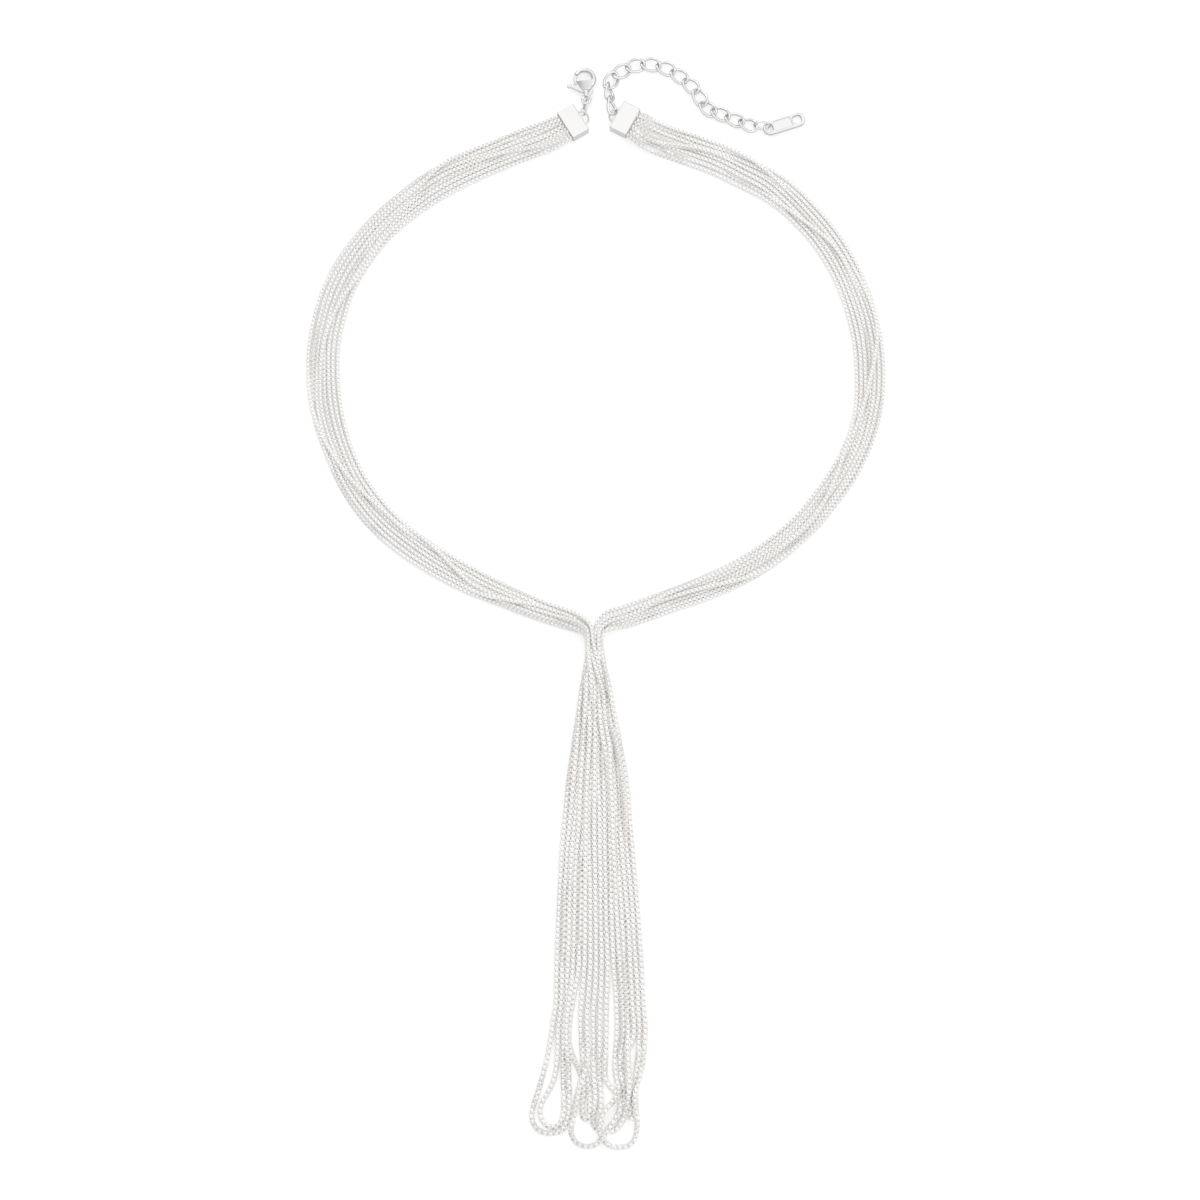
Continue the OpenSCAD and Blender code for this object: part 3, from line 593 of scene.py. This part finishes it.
def strand_mesh(name, P, top, seed):
    rng = np.random.default_rng(100 + seed)
    # even out the route
    s = arc(P)
    fine = np.linspace(0, s[-1], int(s[-1] / 0.25))
    Q = np.stack([np.interp(fine, s, P[:, k]) for k in range(3)], 1)
    tp = np.interp(fine, s, top)
    for _ in range(10):
        Q[1:-1] += 0.5 * ((Q[:-2] + Q[2:]) / 2 - Q[1:-1])
    # where the loop joins its legs
    join = np.exp(-((Q[1:-1, 1:2] + 104.5) / 3.5) ** 2) * 0.5
    for _ in range(120):
        Q[1:-1] += join * ((Q[:-2] + Q[2:]) / 2 - Q[1:-1])
    s = arc(Q)
    y = Q[:, 1]
    pitch = 0.555 * grow(y)
    count = np.concatenate([[0], np.cumsum(np.diff(s) / ((pitch[:-1] + pitch[1:]) / 2))])
    k = np.arange(0, int(count[-1]) + 1)
    at = np.interp(k, count, s)
    C = np.stack([np.interp(at, s, Q[:, j]) for j in range(3)], 1)
    t = np.stack([np.interp(at, s, np.gradient(Q[:, j], s)) for j in range(3)], 1)
    t /= np.linalg.norm(t, axis=1)[:, None]
    up = np.array([0, 0, 1.0]) - t * t[:, 2:3]
    up /= np.linalg.norm(up, axis=1)[:, None]
    side = np.cross(up, t)
    # roll: long runs lie flat, others turn onto an edge
    yy = np.interp(at, s, y)
    flat = np.interp(at, s, tp)
    turn = wander(at, rng, 34.0, 1.0)
    turn = np.sign(turn) * step_up(np.abs(turn), 0.55, 0.85) * 45
    turn = turn * (1 - 0.95 * flat) + wander(at, rng, 11.0, 13.0) * (1 - 0.7 * flat) + rng.normal(size=len(at)) * 2.0
    mixed = 1 - step_up(np.minimum(at, at[-1] - at), 14, 24)
    mixed = np.maximum(mixed, step_up(-yy, 0, 8) * (1 - step_up(-yy, 30, 46)) * 0.8)
    mixed = np.maximum(mixed, step_up(-yy, 108, 118) * 0.9)
    turn = turn + mixed * wander(at, rng, 6.0, 62.0)
    a = np.radians(turn + 90 * (k % 2))
    ca, sa = np.cos(a)[:, None], np.sin(a)[:, None]
    yv, zv = side * ca + up * sa, up * ca - side * sa
    V, F = link_shape()
    M = len(V)
    V = V[None] * grow(yy)[:, None, None]
    pts = (C[:, None, :] + V[:, :, 0:1] * t[:, None, :] + V[:, :, 1:2] * yv[:, None, :]
           + V[:, :, 2:3] * zv[:, None, :]).reshape(-1, 3)
    quads = (F[None] + (np.arange(len(C)) * M)[:, None, None]).reshape(-1, 4)
    return make_mesh(name, row(pts), quads, 48.0)


def build_strands():
    halves = half_strands()
    loops = hem_loops(halves)
    (HL, TL), (HR, TR) = halves
    for i, (name, (l, r, pl, pr, up)) in enumerate(STRANDS.items()):
        mid = loops[i][1:-1]
        P = np.vstack([HL[l], mid, HR[r][::-1]])
        top = np.concatenate([TL[l], np.zeros(len(mid)), TR[r][::-1]])
        o = strand_mesh("strand_%02d" % (i + 1), P, top, i)
        piece(o, chain_metal, "chain_metal", "necklace", "left_band", "right_band", "tassel")


build_strands()


# ---------------------------------------------------------------- end caps
def cap(name, place, side):
    CL, CW, CH, wall = 4.8, 8.2, 2.8, 0.35

    def f(x, y, z):
        across = box2(y, z, 0, CH / 2, CW / 2, CH / 2, 0.17)
        crown = 0.05 * (1 - (y / (CW / 2)) ** 2) * np.clip(1 - (x / 2.4) ** 2, 0, 1)
        out = raised(across + 0.05 - crown * (np.abs(z - CH / 2) > 0.9), x, -CL / 2, CL / 2, 0.12)
        hole = raised(box2(y, z, 0, CH / 2, CW / 2 - wall, CH / 2 - wall, 0.12), x, -CL / 2 - 2, CL / 2 - wall, 0.1)
        shell = cut(out, hole, 0.12)
        lx, ly = x - (CL / 2 - 0.1), y - side * 0.15
        ring = np.hypot(np.hypot(lx, ly) - 1.9, z - CH / 2) - 0.225
        ring = np.maximum(ring, -lx - 0.15)
        return blend_in(shell, ring, 0.28)

    x, y, a = place
    o = solid(name, f, (-2.6, -4.4, -0.2), (4.8, 4.4, 3.0), 0.12, rot("Z", a), np.array([x, y, 0]), 55.0)
    return o


piece(cap("end_cap_left", (-6.9, 126.4, 31), -1), cap_metal, "cap_metal", "necklace", "left_end_cap")
piece(cap("end_cap_right", (6.4, 127.2, 152), 1), cap_metal, "cap_metal", "necklace", "right_end_cap")

# ------------------------------------------------------------------- clasp
CT = 2.2                       # thickness of the clasp
HC, HR_ = (-0.3, 5.75), 2.42   # middle and radius of the hook
TURN, PLACE = rot("Z", 2.0), np.array([-3.5, 132.75, 0])


def clasp_body(x, y, z):
    zc = z - CT / 2
    # the cheeks are round across, like a cone with a flat top
    k = np.clip((y - 1.85) / 3.15, 0.002, 1)
    h = 2.52 * k ** 0.66
    full = cut(1.08 * k ** 0.3 * np.sqrt(np.clip(1 - ((x + 0.06) / h) ** 2, 0, 1)), -0.66, 0.12)
    side = cut((np.abs(x + 0.06) - h) * 0.72, y - 1.98, 0.2)
    cheeks = cut(cut(side, full - np.abs(zc), 0.25), 5.0 - y, 0.16)
    eye = np.hypot(np.hypot(x, y) - 1.0, zc) - 0.35
    neck = raised(box2(x, y, 0, 1.6, 0.56, 0.85, 0.42), zc, -0.90, 0.90, 0.42)
    d = blend_in(blend_in(cheeks, neck, 0.35), eye, 0.3)
    ang = np.degrees(np.arctan2(y - HC[1], x - HC[0]))
    ang = np.where(ang < -126, ang + 360, ang)
    # the hook thins a little towards its tip
    t = np.clip((ang + 18) / 170, 0, 1)
    ru, rz = 0.62 - 0.09 * t, 0.92 - 0.12 * t
    a = np.radians(np.maximum(ang, -44))
    off = np.hypot(x - HC[0] - HR_ * np.cos(a), y - HC[1] - HR_ * np.sin(a))
    hook = (np.hypot(off / ru, zc / rz) - 1) * ru
    ex, ey = math.cos(math.radians(152)), math.sin(math.radians(152))
    plane = -(x - HC[0]) * ey + (y - HC[1]) * ex
    near = ((x - HC[0]) * ex + (y - HC[1]) * ey) > 0
    hook = np.where(near, cut(hook, -plane, 0.18), hook)
    d = blend_in(d, hook, 0.3)
    # the shoulder beside the eye
    d = blend_in(d, raised(capsule2(x, y, 0.45, 1.15, 1.45, 2.3, 0.37), zc, -0.5, 0.5, 0.25), 0.12)
    slot = raised(box2(x, y, -2.51, 3.345, 3.49, 1.875, 0.15), zc, -0.5, 0.5, 0.05)
    d = cut(d, slot, 0.08)
    return cut(d, np.hypot(x, y - 2.75) - 0.33, 0.05)


piece(solid("clasp", clasp_body, (-3.6, -1.6, -0.1), (3.0, 9.1, CT + 0.1), 0.068, TURN, PLACE, 50.0),
      clasp_metal, "clasp_metal", "necklace", "clasp_body")


def clasp_lever(x, y, z):
    zc = z - CT / 2
    a = math.radians(152)
    # the gate follows the hook's ring from the tip's gap down to the cheeks
    gap = 0.14 + (x - HC[0]) * math.sin(a) - (y - HC[1]) * math.cos(a)
    b = math.radians(206)
    foot = -(x - HC[0]) * math.sin(b) + (y - HC[1]) * math.cos(b)
    ring = np.abs(np.hypot(x - HC[0], y - HC[1]) - HR_) - 0.44
    arm = np.maximum(cut(ring, -gap, 0.1), foot)
    arm = blend_in(arm, poly(x, y, [(-0.2, 3.5), (-2.1, 5.0), (-2.9, 4.62), (-0.8, 2.6)]), 0.25)
    tab = poly(x, y, [(0, 3.2), (-3.0, 4.15), (-3.5, 3.2), (-2.6, 2.75), (-1.15, 2.04), (-0.4, 2.0)])
    hub = np.hypot(x, y - 2.75) - 0.82
    plate = raised(blend_in(blend_in(arm, tab, 0.3), hub, 0.2), zc, -0.4, 0.4, 0.2)
    pad = raised(capsule2(x, y, -4.45, 3.82, -3.3, 3.76, 0.47), zc, -0.46, 0.46, 0.30)
    # small ridges across the thumb pad
    pad = pad + 0.03 * np.cos((x + 4.0) * 2 * math.pi / 0.42) * step_up(-x, 3.4, 3.8) * (np.abs(zc) > 0.2)
    d = blend_in(plate, pad, 0.2)
    return cut(d, np.hypot(x, y - 2.75) - 0.33, 0.04)


piece(solid("clasp_gate", clasp_lever, (-5.3, 1.5, 0.4), (1.2, 7.6, 1.8), 0.07, TURN, PLACE, 50.0),
      lever_metal, "lever_metal", "lever", "clasp_lever")


def turned(name, profile, turn, shift, k=32):
    """a solid turned from a profile of radius and height; the first and last radius are 0"""
    ang = np.linspace(0, 2 * np.pi, k, endpoint=False)
    inner = profile[1:-1]
    V = [(0, 0, profile[0][1])] + [(r * np.cos(a), r * np.sin(a), z) for r, z in inner for a in ang] + [(0, 0, profile[-1][1])]
    T = [(0, 1 + (j + 1) % k, 1 + j) for j in range(k)]
    for i in range(len(inner) - 1):
        for j in range(k):
            a, b = 1 + i * k + j, 1 + i * k + (j + 1) % k
            T += [(a, b, b + k), (a, b + k, a + k)]
    last = len(V) - 1
    T += [(last, 1 + (len(inner) - 1) * k + j, 1 + (len(inner) - 1) * k + (j + 1) % k) for j in range(k)]
    return make_mesh(name, row(np.array(V) @ turn.T + shift), np.array(T), 50.0)


dome = [(0, 0.0), (0.12, 0.01), (0.22, 0.045), (0.30, 0.12)]
pin = [(r, 0.03 + z) for r, z in dome] + [(0.30, 0.5), (0.30, 1.1), (0.30, 1.7)] + [(r, CT - 0.03 - z) for r, z in dome[::-1]]
piece(turned("rivet", pin, TURN, np.array([0, 2.75, 0]) @ TURN.T + PLACE), rivet_metal, "clasp_metal", "necklace", "clasp_rivet")


# -------------------------------------------------------------- wire links
def wire(name, a, b, h, r, q, n=56, k=14, flat=1.0):
    """a closed link of round wire: ellipse of half axes a and b, twisted up and down by h"""
    t = np.linspace(0, 2 * np.pi, n, endpoint=False)
    C = np.stack([a * np.cos(t), b * np.sin(t), h * np.sin(2 * t)], 1)
    d = np.stack([-a * np.sin(t), b * np.cos(t), 2 * h * np.cos(2 * t)], 1)
    d /= np.linalg.norm(d, axis=1)[:, None]
    u = np.cross(d, [0, 0, 1.0])
    u /= np.linalg.norm(u, axis=1)[:, None]
    v = np.cross(u, d)
    w = np.linspace(0, 2 * np.pi, k, endpoint=False)
    P = (C[:, None] + r * np.cos(w)[None, :, None] * u[:, None] + r * np.sin(w)[None, :, None] * v[:, None]).reshape(-1, 3)
    i, j = np.meshgrid(np.arange(n), np.arange(k), indexing="ij")
    i, j = i.ravel(), j.ravel()
    F = np.stack([i * k + j, i * k + (j + 1) % k, (i + 1) % n * k + (j + 1) % k, (i + 1) % n * k + j], 1)
    turn = rot("Z", q[3]) @ rot("Y", q[5]) @ rot("X", q[4])
    return make_mesh(name, row(P @ turn.T + np.array(q[:3])), F, 0.0)


# x, y, z, heading, roll, pitch
CONNECTORS = [(-3.68, 131.51, 1.11, 75.9, -58.6, -0.7), (-4.09, 129.75, 1.38, 79.5, 49.3, 0.0)]
EXTENDER = [
    (2.88, 130.96, 1.76, 99.8, 58.9, -2.5), (2.34, 134.64, 1.81, 94.4, 59.8, -0.1), (2.91, 138.07, 1.00, 62.0, 9.9, 0.1),
    (5.53, 140.54, 0.92, 30.4, 6.5, -0.2), (9.10, 142.16, 0.92, 12.6, 8.6, -1.9), (13.07, 142.46, 0.88, -8.4, 6.1, -1.4),
    (16.95, 141.47, 0.84, -24.8, 3.4, -1.0), (20.41, 139.40, 0.81, -35.9, 1.2, -1.3), (23.41, 136.73, 0.84, -44.8, 0.6, -1.7),
    (25.69, 133.48, 0.80, -58.5, -0.2, 0.1), (27.71, 130.43, 0.82, -39.2, -1.3, 1.7), (30.93, 129.00, 0.82, -25.2, -0.6, -0.2),
    (34.58, 127.42, 0.81, -22.0, 0.4, 0.1), (37.98, 125.99, 1.08, -27.4, -9.1, -3.8)]
for i, q in enumerate(CONNECTORS):
    piece(wire("small_link_%d" % (i + 1), 1.3, 0.78, 0, 0.225, q, 44, 12), link_metal, "link_metal", "necklace",
          "connector_link_%d" % (i + 1))
for i, q in enumerate(EXTENDER):
    piece(wire("curb_link_%02d" % (i + 1), 2.4, 1.6, 0.45, 0.37, q), link_metal, "link_metal", "necklace",
          "extender_link_%02d" % (i + 1))
piece(wire("ring", 2.05, 1.25, 0, 0.25, (41.57, 125.67, 1.39, -2.8, 67.4, 5.1), 52, 12), link_metal, "link_metal",
      "necklace", "tag_ring")


# --------------------------------------------------------------------- tag
def tag(x, y, z):
    TL, TW, TT = 11.3, 3.7, 1.0
    bar = raised(capsule2(x, y, TW / 2, 0, TL - TW / 2, 0, TW / 2), z, 0, TT, 0.2)
    near = box2(x, y, (0.65 + 2.5) / 2, 0, (2.5 - 0.65) / 2, 1.15, 0.7)
    far = box2(x, y, TL - 2.15, 0, 1.15, 1.1, 0.7)
    panel = raised(box2(x, y, (3.0 + TL - 3.75) / 2, 0, (TL - 6.75) / 2, 1.25, 0.3), z, TT - 0.25, TT + 1, 0.06)
    d = cut(bar, panel, 0.06)
    d = cut(d, near, 0.14)
    return cut(d, far, 0.14)


lean = math.degrees(math.asin(0.6 / 11.3))
piece(solid("end_tag", tag, (-0.2, -2.1, -0.2), (11.6, 2.1, 1.2), 0.09, rot("Z", 19.2) @ rot("Y", lean),
            np.array([41.9, 124.4, 0.6]), 45.0), tag_metal, "tag_metal", "necklace", "tag")

# ------------------------------------------------------------------- stage
m = bpy.data.meshes.new("floor")
g = np.linspace(-2.5, 2.5, 11)
m.from_pydata([(x, y, 0.0) for y in g for x in g], [],
              [(j * 11 + i, j * 11 + i + 1, (j + 1) * 11 + i + 1, (j + 1) * 11 + i) for j in range(10) for i in range(10)])
floor = bpy.data.objects.new("floor", m)
bpy.context.scene.collection.objects.link(floor)
fm = bpy.data.materials.new("floor_white")
fm.use_nodes = True
fb = fm.node_tree.nodes["Principled BSDF"]
fb.inputs["Base Color"].default_value = (0.95, 0.95, 0.95, 1)

fb.inputs["Roughness"].default_value = 0.7
fb.inputs["Specular IOR Level"].default_value = 0.2
# the table is photographed overexposed, as the photo's white is
fn, fl = fm.node_tree.nodes, fm.node_tree.links
ray, glow = fn.new("ShaderNodeLightPath"), fn.new("ShaderNodeMath")
glow.operation = "MULTIPLY"
glow.inputs[1].default_value = 0.35
fl.new(ray.outputs["Is Camera Ray"], glow.inputs[0])
fb.inputs["Emission Color"].default_value = (1, 1, 1, 1)
fl.new(glow.outputs[0], fb.inputs["Emission Strength"])
m.materials.append(fm)

scene = bpy.context.scene
world = bpy.data.worlds.new("studio")
scene.world = world
world.use_nodes = True
wn, wl = world.node_tree.nodes, world.node_tree.links
bg = wn["Background"]
tc = wn.new("ShaderNodeTexCoord")
sep = wn.new("ShaderNodeSeparateXYZ")
wl.new(tc.outputs["Generated"], sep.inputs["Vector"])
ramp = wn.new("ShaderNodeValToRGB")
els = ramp.color_ramp.elements
els[0].position, els[0].color = 0.0, (0.56, 0.555, 0.55, 1)
els[1].position, els[1].color = 1.0, (1.0, 1.0, 1.0, 1)
for p, v in ((0.15, 0.63), (0.35, 0.71), (0.60, 0.77), (0.80, 0.83), (0.90, 0.96)):
    e = els.new(p)
    e.color = (v, v * 0.993, v * 0.985, 1)
wl.new(sep.outputs["Z"], ramp.inputs["Fac"])
left = wn.new("ShaderNodeMapRange")
left.inputs["From Min"].default_value, left.inputs["From Max"].default_value = -0.85, 0.1
left.inputs["To Min"].default_value, left.inputs["To Max"].default_value = 0.8, 0.0
wl.new(sep.outputs["X"], left.inputs["Value"])
low = wn.new("ShaderNodeMapRange")
low.inputs["From Min"].default_value, low.inputs["From Max"].default_value = 0.35, 0.97
low.inputs["To Min"].default_value, low.inputs["To Max"].default_value = 1.0, 0.0
wl.new(sep.outputs["Z"], low.inputs["Value"])
both = wn.new("ShaderNodeMath")
both.operation = "MULTIPLY"
wl.new(left.outputs["Result"], both.inputs[0])
wl.new(low.outputs["Result"], both.inputs[1])
room = wn.new("ShaderNodeMix")
room.data_type = "RGBA"
wl.new(both.outputs[0], room.inputs["Factor"])
wl.new(ramp.outputs["Color"], room.inputs[6])
room.inputs[7].default_value = (0.12, 0.118, 0.116, 1)
wl.new(room.outputs[2], bg.inputs["Color"])
bg.inputs["Strength"].default_value = 1.0


def softbox(name, at, aim, size, size_y, power):
    l = bpy.data.lights.new(name, "AREA")
    l.shape, l.size, l.size_y, l.energy = "RECTANGLE", size, size_y, power
    o = bpy.data.objects.new(name, l)
    o.location = at
    o.rotation_euler = (Vector(aim) - Vector(at)).to_track_quat("-Z", "Y").to_euler()
    o.visible_camera = False
    scene.collection.objects.link(o)
    return o


softbox("key", (-0.5, 1.3, 1.0), (0, 0, 0), 1.2, 0.6, 5)
softbox("fill", (1.2, -0.2, 0.9), (0, 0, 0), 0.5, 0.9, 2)

cam = bpy.data.cameras.new("camera")
cam.lens, cam.sensor_width, cam.sensor_fit = 144.0, 36.0, "HORIZONTAL"
cam.clip_start, cam.clip_end = 0.01, 20.0
co = bpy.data.objects.new("camera", cam)
co.location = (0.001049, -0.313938, 1.159111)
co.rotation_euler = (math.radians(15), 0, 0)
scene.collection.objects.link(co)
scene.camera = co
scene.view_settings.view_transform = "Standard"
scene.view_settings.gamma = 2.0
# light finds its way out between the links
scene.cycles.max_bounces = 20
scene.cycles.glossy_bounces = 16
